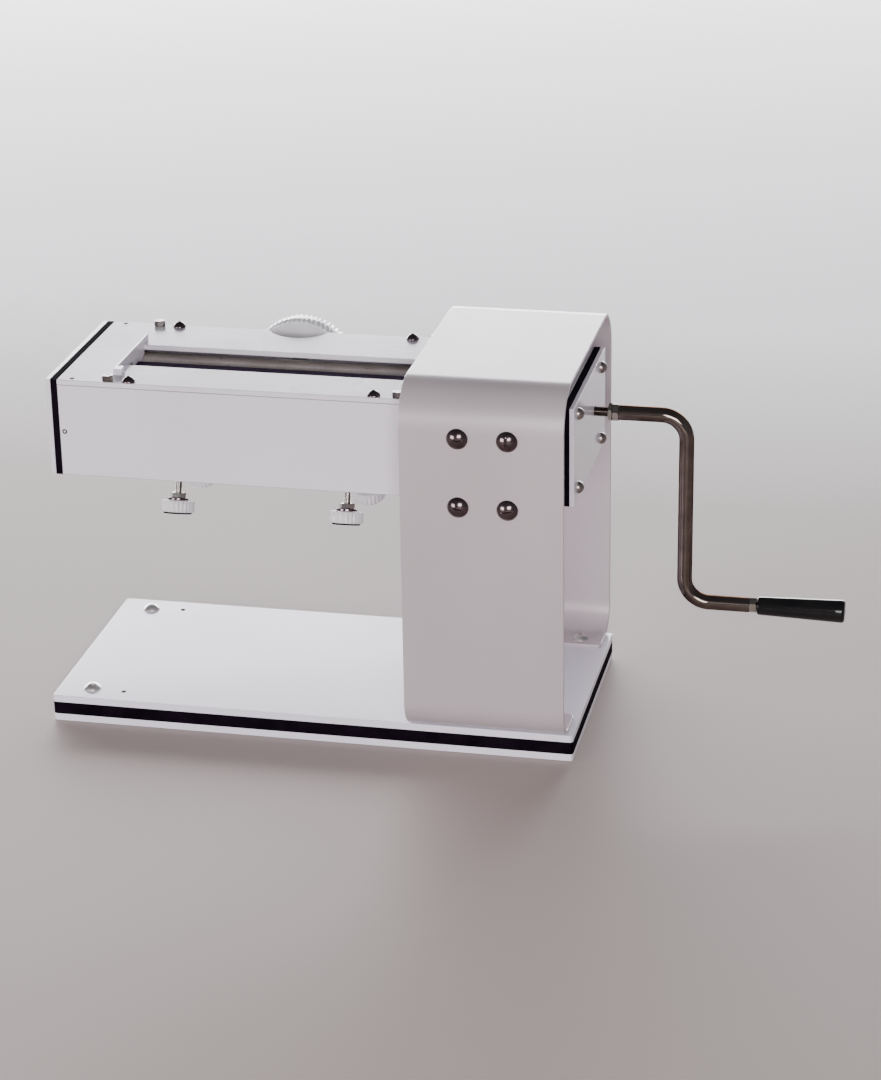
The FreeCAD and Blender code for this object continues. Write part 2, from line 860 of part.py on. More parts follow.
def dial_screw():
    start = rear_y + roller_r + 1.25
    return rod(dial_screw_r, V(dial_x, start, axis_z), Y, dial_y0 + dial_w - start)


def dial_collar():
    y0 = bar_y1 + 0.8
    return tube(dial_screw_r, dial_collar_r - dial_screw_r, V(dial_x, y0, axis_z), Y, plate_y - free_gap - y0)


save("rubber_pads", *rubber_pads())
save("base_bottom_plate", base_bottom_plate())
save("base_core", base_core())
save("base_top_plate", base_top_plate())
save("base_screws", *base_screws())
save("dowel_pins", *dowel_pins())
save("tower", tower())
save("tower_flange_screws", *tower_flange_screws())
save("tower_bolts", *tower_bolts())
save("tower_spacers", *tower_spacers())
save("tower_nuts", *tower_nuts())
save("front_plate", front_plate())
save("back_plate", back_plate())
save("top_plate", top_plate())
save("bottom_plate", bottom_plate())
save("left_cap_outer", cap_sheet(head_x0, head_x0 + cap_white_t))
save("left_cap_core", cap_sheet(head_x0 + cap_white_t, left_in))
save("left_wall", left_wall())
save("right_wall", right_wall())
save("right_end_wall", right_end_wall())
save("right_cap_core", right_cap_sheet(right_in, head_x1 - cap_white_t))
save("right_cap_outer", right_cap_sheet(head_x1 - cap_white_t, head_x1))
save("pan_screws", *pan_screws())
save("top_hex_screws", *top_hex_screws())
save("top_button_screws", *top_button_screws())
save("slot_lip", slot_lip())
save("wall_bushes", *wall_bushes())
save("dial_bush", dial_bush())
save("front_wiper", wiper("front_left", front_y))
save("rear_wiper", wiper("rear_left", rear_y))
save("stud_bosses", *stud_bosses())
save("width_guide", width_guide())
save("rear_roller", roller(rear_y))
save("drive_shaft", drive_shaft())
save("rear_gear", gear(rear_y, math.pi))
save("crank_arm", crank_arm())
save("crank_nuts", *crank_nuts())
save("grip_spindle", grip_spindle())
save("grip_nut", grip_nut())
save("grip", grip())
save("yoke_left_arm", yoke_arm(arm_left_x0, arm_left_x1, arm_left_x0, X))
save("yoke_right_arm", yoke_arm(arm_right_x0, arm_right_x1, arm_right_x1, X * -1))
save("yoke_bar", yoke_bar())
save("yoke_screws", *yoke_screws())
save("front_roller", roller(front_y))
save("front_shaft", front_shaft())
save("front_gear", gear(front_y, math.pi / gear_teeth))
save("dial_wheel", dial_wheel())
save("dial_screw", dial_screw())
save("dial_collar", dial_collar())
for name in knob_out:
    save(name + "_stud", stud(name))
    save(name + "_knob", knob(name))
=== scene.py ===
import json
import math
import bmesh
import bpy
from mathutils import Matrix, Vector

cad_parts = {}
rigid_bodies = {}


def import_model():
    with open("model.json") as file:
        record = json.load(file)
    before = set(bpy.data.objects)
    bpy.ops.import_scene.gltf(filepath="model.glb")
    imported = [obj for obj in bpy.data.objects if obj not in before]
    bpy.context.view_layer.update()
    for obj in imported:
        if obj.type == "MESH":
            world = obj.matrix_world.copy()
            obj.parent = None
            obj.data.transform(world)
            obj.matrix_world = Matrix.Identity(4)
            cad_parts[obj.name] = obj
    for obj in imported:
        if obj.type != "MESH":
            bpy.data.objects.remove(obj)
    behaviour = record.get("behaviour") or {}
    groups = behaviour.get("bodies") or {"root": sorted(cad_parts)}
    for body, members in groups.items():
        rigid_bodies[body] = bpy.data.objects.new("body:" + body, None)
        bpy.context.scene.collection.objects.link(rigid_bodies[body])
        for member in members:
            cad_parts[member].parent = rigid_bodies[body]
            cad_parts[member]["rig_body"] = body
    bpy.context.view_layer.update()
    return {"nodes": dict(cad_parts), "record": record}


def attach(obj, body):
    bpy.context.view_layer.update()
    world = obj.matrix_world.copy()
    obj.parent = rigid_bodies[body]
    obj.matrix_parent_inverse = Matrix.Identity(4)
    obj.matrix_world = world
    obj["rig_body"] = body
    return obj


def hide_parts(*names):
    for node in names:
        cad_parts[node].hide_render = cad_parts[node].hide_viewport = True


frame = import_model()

mm = 0.001
same = 1e-7   # points nearer than this are one
weld = 2e-6   # used where a mesh comes from the frame or a spin
nodes = frame["nodes"]


# finishes

def newFinish(name):
    finish = bpy.data.materials.new(name)
    finish.use_nodes = True
    tree = finish.node_tree
    return finish, tree, tree.nodes["Principled BSDF"]


def spread(tree, scale=(1, 1, 1)):
    where = tree.nodes.new("ShaderNodeTexCoord")
    mapping = tree.nodes.new("ShaderNodeMapping")
    mapping.inputs["Scale"].default_value = scale
    tree.links.new(where.outputs["Object"], mapping.inputs["Vector"])
    return mapping.outputs["Vector"]


def cloud(tree, where, size, detail=3.0, rough=0.5):
    noise = tree.nodes.new("ShaderNodeTexNoise")
    noise.inputs["Scale"].default_value = 1 / size
    noise.inputs["Detail"].default_value = detail
    noise.inputs["Roughness"].default_value = rough
    tree.links.new(where, noise.inputs["Vector"])
    return noise.outputs["Fac"]


def flecks(tree, where, size):
    cells = tree.nodes.new("ShaderNodeTexVoronoi")
    cells.inputs["Scale"].default_value = 1 / size
    tree.links.new(where, cells.inputs["Vector"])
    return cells.outputs["Distance"]


def between(tree, value, low, high, outLow=0.0, outHigh=1.0):
    node = tree.nodes.new("ShaderNodeMapRange")
    node.inputs["From Min"].default_value = low
    node.inputs["From Max"].default_value = high
    node.inputs["To Min"].default_value = outLow
    node.inputs["To Max"].default_value = outHigh
    tree.links.new(value, node.inputs["Value"])
    return node.outputs["Result"]


def combine(tree, kind, a, b):
    node = tree.nodes.new("ShaderNodeMath")
    node.operation = kind
    for socket, value in zip(node.inputs, (a, b)):
        if isinstance(value, (int, float)):
            socket.default_value = value
        else:
            tree.links.new(value, socket)
    return node.outputs[0]


def mixTint(tree, share, first, second):
    # a mix node lists its sockets for every data type; these are the colour ones
    factorAt, firstAt, secondAt, resultAt = 0, 6, 7, 2
    node = tree.nodes.new("ShaderNodeMix")
    node.data_type = "RGBA"
    tree.links.new(share, node.inputs[factorAt])
    for socket, colour in ((node.inputs[firstAt], first), (node.inputs[secondAt], second)):
        if isinstance(colour, tuple):
            socket.default_value = (*colour, 1)
        else:
            tree.links.new(colour, socket)
    return node.outputs[resultAt]


def addRelief(tree, shader, height, depth, strength=1.0):
    node = tree.nodes.new("ShaderNodeBump")
    node.inputs["Strength"].default_value = strength
    node.inputs["Distance"].default_value = depth
    tree.links.new(height, node.inputs["Height"])
    tree.links.new(node.outputs["Normal"], shader.inputs["Normal"])


def sheetFinish(name, pale, deep, gloss, scuff, shine=0.5):
    # smooth laminated sheet: faint clouding, hairlines from wiping and a few scuffs
    finish, tree, shader = newFinish(name)
    flat = spread(tree)
    along = spread(tree, (0.05, 1, 1))
    worn = tuple(c * 0.8 for c in deep)
    patch = between(tree, cloud(tree, flat, size=0.14, detail=2), 0.35, 0.65)
    wiped = between(tree, cloud(tree, along, size=0.0012, detail=2, rough=0.6), 0.6, 0.75)
    rubbed = between(tree, cloud(tree, flat, size=0.011, detail=5, rough=0.7), 0.66, 0.76)
    tone = mixTint(tree, patch, pale, deep)
    tone = mixTint(tree, combine(tree, "MULTIPLY", rubbed, scuff), tone, worn)
    tree.links.new(tone, shader.inputs["Base Color"])
    dull = combine(tree, "ADD", between(tree, patch, 0, 1, gloss, gloss + 0.06),
                   combine(tree, "MULTIPLY", wiped, 0.1))
    tree.links.new(dull, shader.inputs["Roughness"])
    shader.inputs["IOR"].default_value = 1.5
    shader.inputs["Specular IOR Level"].default_value = shine
    ripple = cloud(tree, flat, size=0.004, detail=1)
    addRelief(tree, shader, ripple, depth=0.00003, strength=0.25)
    return finish


def metalFinish(name, pale, deep, gloss, grain, stretch=(1, 1, 1), rim=(1, 1, 1)):
    # turned or rolled metal: fine lines along one way, cloudy tarnish and finger marks
    finish, tree, shader = newFinish(name)
    shader.inputs["Metallic"].default_value = 1.0
    flat = spread(tree)
    lines = cloud(tree, spread(tree, stretch), grain, detail=3, rough=0.65)
    patch = between(tree, cloud(tree, flat, size=0.018, detail=4, rough=0.6), 0.35, 0.68)
    tree.links.new(mixTint(tree, patch, pale, deep), shader.inputs["Base Color"])
    dull = combine(tree, "ADD", between(tree, lines, 0.3, 0.7, gloss * 0.7, gloss * 1.3),
                   combine(tree, "MULTIPLY", patch, 0.04))
    tree.links.new(dull, shader.inputs["Roughness"])
    shader.inputs["Specular Tint"].default_value = (*rim, 1)
    addRelief(tree, shader, lines, depth=0.00002, strength=0.3)
    return finish


def plasticFinish(name, pale, deep, gloss, size, depth, shine=0.5):
    # moulded plastic: fine skin and small tone changes
    finish, tree, shader = newFinish(name)
    flat = spread(tree)
    skin = cloud(tree, flat, size, detail=3, rough=0.6)
    patch = between(tree, cloud(tree, flat, size=0.02, detail=3), 0.35, 0.65)
    tree.links.new(mixTint(tree, patch, pale, deep), shader.inputs["Base Color"])
    dull = between(tree, skin, 0.3, 0.7, gloss * 0.8, gloss * 1.25)
    tree.links.new(dull, shader.inputs["Roughness"])
    shader.inputs["Specular IOR Level"].default_value = shine
    addRelief(tree, shader, skin, depth, strength=0.3)
    return finish


towerCoat = {
    "pale": (0.58, 0.512, 0.545), "deep": (0.53, 0.465, 0.495), "speck": (0.3, 0.27, 0.26), "speckShare": 0.25,
    "metallic": 0.25, "rough": (0.3, 0.4), "specular": 0.6, "coat": 0.12, "coatRough": 0.3,
}


def towerFinish(s):
    # satin coat on bent sheet: fine orange peel, and a slow drift of tone over the legs
    finish, tree, shader = newFinish("towerCoat")
    shader.inputs["Metallic"].default_value = s["metallic"]
    flat = spread(tree)
    tall = spread(tree, (1, 1, 0.35))
    drift = between(tree, cloud(tree, tall, size=0.09, detail=2), 0.3, 0.7)
    peel = cloud(tree, flat, size=0.0016, detail=2, rough=0.5)
    speck = between(tree, flecks(tree, flat, size=0.012), 0.03, 0.06, 1, 0)
    tone = mixTint(tree, drift, s["pale"], s["deep"])
    tone = mixTint(tree, combine(tree, "MULTIPLY", speck, s["speckShare"]), tone, s["speck"])
    tree.links.new(tone, shader.inputs["Base Color"])
    tree.links.new(between(tree, peel, 0.3, 0.7, *s["rough"]), shader.inputs["Roughness"])
    shader.inputs["Specular IOR Level"].default_value = s["specular"]
    shader.inputs["Coat Weight"].default_value = s["coat"]
    shader.inputs["Coat Roughness"].default_value = s["coatRough"]
    addRelief(tree, shader, peel, depth=0.00004, strength=0.35)
    return finish


rollerSteel = {
    "pale": (0.6, 0.54, 0.51), "deep": (0.42, 0.365, 0.34), "darkFleck": (0.03, 0.022, 0.02), "darkFleckShare": 0.5,
    "metallic": 0.5, "rough": (0.26, 0.46),
}


def rollerFinish(s):
    # ground steel roller: rings from grinding, brown film and small near-black flecks
    finish, tree, shader = newFinish("rollerSteel")
    shader.inputs["Metallic"].default_value = s["metallic"]
    flat = spread(tree)
    around = spread(tree, (1, 0.02, 0.02))
    along = spread(tree, (0.5, 1, 1))
    rings = cloud(tree, around, size=0.0007, detail=3, rough=0.7)
    film = between(tree, cloud(tree, along, size=0.012, detail=5, rough=0.65), 0.35, 0.7)
    darkFleck = between(tree, flecks(tree, flat, size=0.011), 0.08, 0.16, 1, 0)
    tone = mixTint(tree, film, s["pale"], s["deep"])
    tone = mixTint(tree, combine(tree, "MULTIPLY", darkFleck, s["darkFleckShare"]), tone, s["darkFleck"])
    tree.links.new(tone, shader.inputs["Base Color"])
    tree.links.new(between(tree, rings, 0.3, 0.7, *s["rough"]), shader.inputs["Roughness"])
    addRelief(tree, shader, rings, depth=0.00003, strength=0.4)
    return finish


finishes = {
    "white_sheet": sheetFinish(
        "whiteSheet", (0.83, 0.778, 0.872), (0.79, 0.738, 0.832), gloss=0.14, scuff=0.25),
    # the lid's upward faces: the white sheet with a darker base tone, painted shade on the top, plus its real
    # scuffs
    "lid_sheet": sheetFinish(
        "lidSheet", (0.48, 0.435, 0.515), (0.44, 0.4, 0.475), gloss=0.24, scuff=0.45, shine=0.2),
    "base_sheet": sheetFinish(
        "baseSheet", (0.87, 0.835, 0.955), (0.84, 0.805, 0.92), gloss=0.13, scuff=0.25),
    "black_core": plasticFinish(
        "blackCore", (0.004, 0.0022, 0.005), (0.008, 0.0045, 0.0095),
        gloss=0.8, size=0.0009, depth=0.00003, shine=0.01),
    "lip_black": plasticFinish(
        "lipBlack", (0.02, 0.01, 0.026), (0.03, 0.016, 0.038),
        gloss=0.85, size=0.0009, depth=0.00003, shine=0.006),
    # grey for the broken edges of the front and back plates: painted shade along the seams
    "edge_line": sheetFinish(
        "seamShadeLine", (0.42, 0.385, 0.43), (0.33, 0.3, 0.335), gloss=0.4, scuff=0.5),
    "screw_steel": metalFinish(
        "screwSteel", (0.28, 0.255, 0.243), (0.17, 0.153, 0.145), gloss=0.2, grain=0.0012),
    "dome_steel": metalFinish(
        "domeSteel", (0.8, 0.77, 0.75), (0.66, 0.63, 0.61), gloss=0.36, grain=0.0015),
    "cap_screw": metalFinish(
        "capScrew", (0.38, 0.33, 0.32), (0.27, 0.23, 0.22), gloss=0.3, grain=0.001),
    "nut_steel": metalFinish(
        "nutSteel", (0.42, 0.4, 0.345), (0.29, 0.272, 0.232), gloss=0.14, grain=0.0015),
    "tower_paint": towerFinish(towerCoat),
    "bright_steel": metalFinish(
        "brightSteel", (0.52, 0.49, 0.47), (0.38, 0.35, 0.335), gloss=0.14, grain=0.0015),
    "brushed_steel": metalFinish(
        "brushedSteel", (0.19, 0.156, 0.14), (0.13, 0.104, 0.093), gloss=0.09, grain=0.0009,
        stretch=(1, 0.05, 1), rim=(0.25, 0.21, 0.19)),
    "dark_screw": metalFinish(
        "darkScrew", (0.16, 0.122, 0.132), (0.1, 0.074, 0.082), gloss=0.16, grain=0.001),
    "pin_end": plasticFinish(
        "pinEnd", (0.025, 0.022, 0.025), (0.045, 0.04, 0.044),
        gloss=0.6, size=0.0006, depth=0.00003, shine=0.05),
    "roller_steel": rollerFinish(rollerSteel),
    "white_moulding": plasticFinish(
        "whiteMoulding", (0.8, 0.78, 0.82), (0.72, 0.71, 0.73), gloss=0.13, size=0.0012, depth=0.00002),
    "black_grip": plasticFinish(
        "blackGrip", (0.005, 0.005, 0.006), (0.009, 0.0085, 0.009),
        gloss=0.1, size=0.0016, depth=0.00002, shine=0.3),
    "pad_rubber": plasticFinish(
        "padRubber", (0.03, 0.03, 0.03), (0.045, 0.043, 0.042), gloss=0.7, size=0.0006, depth=0.00008),
    "yoke_aluminium": metalFinish(
        "yokeAluminium", (0.78, 0.78, 0.79), (0.68, 0.68, 0.7), gloss=0.34, grain=0.0008,
        stretch=(0.04, 1, 1)),
    "gear_steel": metalFinish(
        "gearSteel", (0.5, 0.49, 0.48), (0.38, 0.36, 0.34), gloss=0.36, grain=0.0009,
        stretch=(1, 0.2, 0.2)),
}
slotOf = {row["node"]: row["material_slot"] for row in frame["record"]["subparts"]}
for nodeName, node in nodes.items():
    node.data.materials.clear()
    node.data.materials.append(finishes[slotOf[nodeName]])
print("finishes:", len(finishes), "on", len(slotOf), "nodes")


# shapes used by several pieces

def seat(place, direction, turn=0.0):
    lean = Vector((0, 0, 1)).rotation_difference(Vector(direction)).to_matrix().to_4x4()
    return Matrix.Translation(Vector(place) * mm) @ lean @ Matrix.Rotation(turn, 4, "Z")


def setRing(loop, ring):
    radius, height = ring
    for v in loop:
        a = math.atan2(v.co.y, v.co.x)
        r = radius(a) if callable(radius) else radius
        z = height(a) if callable(height) else height
        v.co = (r * math.cos(a) * mm, r * math.sin(a) * mm, z * mm)


def ringStack(bm, count, rings, capLow=True, capHigh=True):
    # a turned shape: one circle pulled through the rings, each a radius and a height in millimetres
    loop = bmesh.ops.create_circle(bm, segments=count, radius=1)["verts"]
    setRing(loop, rings[0])
    edges = list({e for v in loop for e in v.link_edges})
    made = list(loop)
    if capLow:
        bmesh.ops.contextual_create(bm, geom=edges)
    for ring in rings[1:]:
        grown = bmesh.ops.extrude_edge_only(bm, edges=edges)["geom"]
        loop = [g for g in grown if isinstance(g, bmesh.types.BMVert)]
        fresh = set(loop)
        edges = [g for g in grown if isinstance(g, bmesh.types.BMEdge) and set(g.verts) <= fresh]
        setRing(loop, ring)
        made += loop
    if capHigh:
        bmesh.ops.contextual_create(bm, geom=edges)
    return made


def hexReach(across):
    return lambda a: across / 2 / math.cos((a + math.pi / 6) % (math.pi / 3) - math.pi / 6)


# shares of the width across the flats, and how fast a shoulder falls towards the corners
hexShape = {"shoulder": 0.48, "face": 0.46, "slope": 0.6}


def hexShoulder(across, height):
    reach = hexReach(across)
    return lambda a: height - (reach(a) - across * hexShape["shoulder"]) * hexShape["slope"]


def domeRings(radius, height, rim, inner, steps):
    ball = (radius ** 2 + (height - rim) ** 2) / (2 * (height - rim))
    start, stop = math.asin(radius / ball), math.asin(inner / ball)
    turns = [start + (stop - start) * i / steps for i in range(steps + 1)]
    return [(ball * math.sin(t), height - ball + ball * math.cos(t)) for t in turns]


def cutSlot(bm, made, width, floor, turn):
    # a screwdriver slot: the dome is parted along the slot's sides and the strip between is pushed down
    across = Vector((math.cos(turn), math.sin(turn), 0))
    flat, slack = width * 0.2, 0.01
    for side in (-1, 1):
        for reach in (flat, width / 2):
            # vertices that a cut has just made have no index yet
            parts = {v for v in set(made) | {v for v in bm.verts if v.index == -1} if v.is_valid}
            faces = {f for v in parts for f in v.link_faces}
            edges = {e for f in faces for e in f.edges}
            grown = bmesh.ops.bisect_plane(bm, geom=list(parts) + list(edges) + list(faces), dist=same,
                                           plane_co=across * side * reach * mm, plane_no=across)
            made += [g for g in grown["geom_cut"] if isinstance(g, bmesh.types.BMVert)]
    for v in set(made):
        if abs(v.co.dot(across)) <= (flat + slack) * mm and v.co.z > floor * mm:
            v.co.z = floor * mm
    return list(set(made))


def makePiece(bm, name, stands, look=None, sharp=32, second=None):
    bmesh.ops.remove_doubles(bm, verts=bm.verts, dist=same)
    bmesh.ops.recalc_face_normals(bm, faces=bm.faces)
    mesh = bpy.data.meshes.new(name)
    bm.to_mesh(mesh)
    bm.free()
    mesh.shade_smooth()
    mesh.set_sharp_from_angle(angle=math.radians(sharp))
    slot = slotOf[stands[0]]
    for key in (look or slot, second):
        if key:
            mesh.materials.append(finishes[key])
    piece = bpy.data.objects.new(name, mesh)
    bpy.context.scene.collection.objects.link(piece)
    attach(piece, nodes[stands[0]]["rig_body"])
    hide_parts(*stands)
    return piece


def addScrew(bm, place, out, rings, count, turn=0.0, slot=None):
    made = ringStack(bm, count, rings)
    if slot:
        made = cutSlot(bm, made, *slot)
    bmesh.ops.transform(bm, matrix=seat(place, out, turn), verts=made)


def addThread(bm, radius, pitch, low, high, steps=20):
    # one tooth spun up the rod, then cut off level at both ends and closed
    deep = radius - pitch * 0.58
    turns = math.ceil((high - low) / pitch) + 2
    points = [(deep, 0), (deep, 0.12), (radius, 0.5), (radius, 0.62), (deep, 1.0)]
    made = [bm.verts.new((r * mm, 0, (low - pitch + share * pitch) * mm)) for r, share in points]
    edges = [bm.edges.new(pair) for pair in zip(made, made[1:])]
    before = set(bm.verts) - set(made)
    bmesh.ops.spin(bm, geom=made + edges, cent=(0, 0, 0), axis=(0, 0, 1), dvec=(0, 0, pitch / steps * mm),
                   angle=2 * math.pi * turns, steps=steps * turns, use_merge=False)
    rod = [v for v in bm.verts if v not in before]
    bmesh.ops.remove_doubles(bm, verts=rod, dist=weld)
    for height, normal in ((low, -1), (high, 1)):
        rod = [v for v in bm.verts if v not in before]
        faces = list({f for v in rod for f in v.link_faces})
        lines = list({e for f in faces for e in f.edges})
        bmesh.ops.bisect_plane(bm, geom=rod + lines + faces, dist=same, plane_co=(0, 0, height * mm),
                               plane_no=(0, 0, normal), clear_outer=True)
        level = {v for v in bm.verts if v not in before and abs(v.co.z - height * mm) < 1e-6}
        rim = [e for e in bm.edges if e.is_boundary and set(e.verts) <= level]
        bmesh.ops.contextual_create(bm, geom=rim)
    return [v for v in bm.verts if v not in before]


# sheets and plates: the frame's own shapes with their edges broken

plateSettings = {
    "base_bottom_plate": 0.5, "base_core": 0.25, "base_top_plate": 0.6,
    "tower": 0.55, "front_plate": 0.5, "back_plate": 0.5, "top_plate": 0.5, "bottom_plate": 0.35,
    "left_cap_outer": 0.45, "left_cap_core": 0.2, "right_cap_core": 0.2, "right_cap_outer": 0.45,
    "slot_lip": 0.3, "width_guide": 0.3, "front_wiper": 0.3, "rear_wiper": 0.3, "yoke_bar": 0.4,
}
plateLooks = {"base_bottom_plate": "base_sheet", "base_top_plate": "base_sheet", "slot_lip": "lip_black"}
# the lid's top faces take a darker copy of the white sheet: painted shade
shadedTops = {"top_plate": "lid_sheet"}
# the bevel faces of these plates take the grey: painted seam shade
seamShadeEdges = {"front_plate": "edge_line", "back_plate": "edge_line"}
plateEdges = {"corner": 40, "least": 24, "level": 0.4, "upright": 0.9, "sharp": 20, "even": 50}


def outlineEdges(bm, corner, least):
    # edges of the outline and of large openings; the rims of the screw holes are left as they are
    sharp = {e for e in bm.edges if len(e.link_faces) == 2 and e.calc_face_angle() > math.radians(corner)}
    kept = []
    while sharp:
        queue = [sharp.pop()]
        group = []
        while queue:
            edge = queue.pop()
            group.append(edge)
            near = {n for v in edge.verts for n in v.link_edges if n in sharp}
            sharp -= near
            queue += near
        spots = [v.co for edge in group for v in edge.verts]
        reach = max(max(c[k] for c in spots) - min(c[k] for c in spots) for k in range(3))
        if reach > least * mm:
            kept += group
    return kept


def addPlates(s, looks, tops, seams, edges):
    for nodeName, broken in s.items():
        bm = bmesh.new()
        bm.from_mesh(nodes[nodeName].data)
        bmesh.ops.remove_doubles(bm, verts=bm.verts, dist=weld)
        bmesh.ops.dissolve_limit(bm, angle_limit=math.radians(edges["level"]), verts=bm.verts, edges=bm.edges)
        for face in bm.faces:
            # upward faces of the lid get the darker copy of the white sheet: painted shade on the top
            face.material_index = int(nodeName in tops and face.normal.z > edges["upright"])
        # on the front and back plates the bevel faces take the grey edge finish: painted seam shade
        bmesh.ops.bevel(bm, geom=outlineEdges(bm, edges["corner"], edges["least"]), offset=broken * mm,
                        offset_type="OFFSET", affect="EDGES", segments=2, profile=0.5,
                        material=1 if nodeName in seams else -1, clamp_overlap=False)
        words = nodeName.split("_")
        name = words[0] + "".join(w.capitalize() for w in words[1:]) + "Sheet"
        piece = makePiece(bm, name, [nodeName], looks.get(nodeName), edges["sharp"],
                          tops.get(nodeName) or seams.get(nodeName))
        # large flats keep their own normal beside the narrow broken edges
        even = piece.modifiers.new("evenShade", "WEIGHTED_NORMAL")
        even.mode = "FACE_AREA"
        even.weight = edges["even"]
        even.keep_sharp = True


addPlates(plateSettings, plateLooks, shadedTops, seamShadeEdges, plateEdges)
print("plates:", len(plateSettings))


# screws and bolts

boltSettings = {
    "x": (128.4, 166.8), "z": (216.1, 271.7), "y": 115.2, "shank": 3.0, "long": 54.7,
    "radius": 8.3, "height": 4.4, "rim": 0.5, "slotWide": 1.7, "slotFloor": 3.3,
    "turns": (0.2, 0.0, -0.17, 1.5),
}


def shankRings(s):
    return [(s["shank"], -s["long"]), (s["shank"], 0), (s["radius"], 0)]


def slottedHead(s):
    return shankRings(s) + domeRings(s["radius"], s["height"], s["rim"], inner=0.5, steps=10)


def addTowerBolts(s):
    bm = bmesh.new()
    rings = slottedHead(s)
    k = 0
    for side in (-1, 1):
        for x in s["x"]:
            for z in s["z"]:
                slotTurn = math.pi / 2 + s["turns"][k % len(s["turns"])] * (1 if k % 2 else -1)
                addScrew(bm, (x, side * s["y"], z), (0, side, 0), rings, 40,
                         slot=(s["slotWide"], s["slotFloor"], slotTurn))
                k += 1
    makePiece(bm, "towerBoltHeads", ["tower_bolts"], "dark_screw")


baseScrewSettings = {
    "spots": [(-187, -81.5, 22.2), (-187, 81.5, 22.2)], "shank": 3.0, "long": 19.6,
    "radius": 7.0, "height": 4.6, "rim": 0.5, "slotWide": 1.0, "slotFloor": 4.0, "turns": (0.5, 2.2),
}


def addBaseScrews(s):
    bm = bmesh.new()
    rings = slottedHead(s)
    for spot, turn in zip(s["spots"], s["turns"]):
        addScrew(bm, spot, (0, 0, 1), rings, 40, slot=(s["slotWide"], s["slotFloor"], turn))
    makePiece(bm, "baseScrewHeads", ["base_screws"], "dome_steel")


screwSettings = {
    "flange": {
        "node": "tower_flange_screws", "spots": [(x, y, 25.2) for x in (102.3, 190.5) for y in (-79, 79)],
        "out": (0, 0, 1), "shank": 3.0, "long": 22.1, "radius": 6.8, "height": 4.0, "rim": 0.4,
        "socket": 4.0, "look": "dome_steel",
    },
    "button": {
        "node": "top_button_screws", "spots": [(x, y, 286) for x in (-144.5, 53.4) for y in (-69.5, 69.5)],
        "out": (0, 0, 1), "shank": 2.5, "long": 26.1, "radius": 5.3, "height": 4.4, "rim": 0.5,
        "socket": 2.5,
    },
}


def socketHead(s):
    # a dome with a hex socket sunk into its top
    hole = hexReach(s["socket"])
    rings = shankRings(s) + domeRings(s["radius"], s["height"], s["rim"], inner=s["socket"] * 0.64, steps=8)
    top = rings[-1][1]
    return rings + [(hole, top - 0.1), (hole, top - 1.4), (0.3, top - 1.8)]


def addSocketScrews(table):
    firstTurn, nextTurn = 0.4, 1.3
    for name, s in table.items():
        bm = bmesh.new()
        for k, spot in enumerate(s["spots"]):
            addScrew(bm, spot, s["out"], socketHead(s), 24, firstTurn + k * nextTurn)
        makePiece(bm, name + "ScrewHeads", [s["node"]], s.get("look"))


panSettings = {
    "shank": 2.0, "long": 15.9, "radius": 5.0, "height": 4.6, "rim": 0.4, "socket": 2.5,
    "caps": (-211.6, 211.3), "y": 55.0, "z": (215.0, 275.6), "low": 3.0,
    "floor": [(x, y, 206) for x in (-196, 100.5) for y in (-45, 45)],
}


def addPanScrews(s):
    bm = bmesh.new()
    rings = socketHead(s)
    for x in s["caps"]:
        for y in (-s["y"], s["y"]):
            for z in s["z"]:
                addScrew(bm, (x, y, z), (1 if x > 0 else -1, 0, 0), rings, 24, turn=y + z)
    low = socketHead({**s, "height": s["low"]})
    for spot in s["floor"]:
        addScrew(bm, spot, (0, 0, -1), low, 24, turn=spot[0])
    makePiece(bm, "capScrewHeads", ["pan_screws"], "cap_screw")


hexSettings = {
    "spots": [(x, y, 286) for x in (-161.5, 72.8) for y in (-69.5, 69.5)], "across": 7.8, "height": 4.4,
    "shank": 2.5, "long": 26.1, "radius": 4.4, "crown": 0.47, "dishRim": 0.33, "dish": 0.3,
}


def addHexScrews(s):
    wide, top = s["across"], s["height"]
    reach = hexReach(wide)
    rings = shankRings(s) + [(s["radius"], 0.45), (reach, 0.5), (reach, hexShoulder(wide, top)),
                             (wide * s["crown"], top), (wide * s["dishRim"], top),
                             (wide * s["dish"], top - 0.25)]
    bm = bmesh.new()
    for k, spot in enumerate(s["spots"]):
        addScrew(bm, spot, (0, 0, 1), rings, 48, turn=k * 0.9)
    makePiece(bm, "topHexHeads", ["top_hex_screws"], "screw_steel")


pinSettings = {
    "spots": [(-159.5, y, 22.2) for y in (-84.0, 84.0)] + [(-191.0, y, 286) for y in (-69.5, 69.5)],
    "front": (-198.4, -74.5, 242.7), "long": 9.0, "radius": 1.55, "rim": 2.05,
}


def addPins(s):
    # small pins set flush: a dark rim and a groove, and on the front one a pale middle
    pin, rim = s["radius"], s["rim"]
    rings = [(pin, -s["long"]), (pin, 0.02), (rim, 0.02), (rim, 0.08), (pin - 0.05, 0.08),
             (pin - 0.2, -0.25), (pin - 0.45, -0.25), (pin - 0.6, 0.04), (0.2, 0.04)]
    bm = bmesh.new()
    rows = [(spot, (0, 0, 1)) for spot in s["spots"]] + [(s["front"], (0, -1, 0))]
    for spot, out in rows:
        made = ringStack(bm, 20, rings)
        for face in {f for v in made for f in v.link_faces}:
            middle = face.calc_center_median()
            inside = middle.z > 0 and middle.xy.length < (pin - 0.62) * mm
            face.material_index = int(spot == s["front"] and inside)
        bmesh.ops.transform(bm, matrix=seat(spot, out), verts=made)
    makePiece(bm, "surfacePins", ["dowel_pins"], "pin_end", second="white_moulding")


addTowerBolts(boltSettings)
addBaseScrews(baseScrewSettings)
addSocketScrews(screwSettings)
addPanScrews(panSettings)
addHexScrews(hexSettings)
addPins(pinSettings)
print("screws and bolts made")


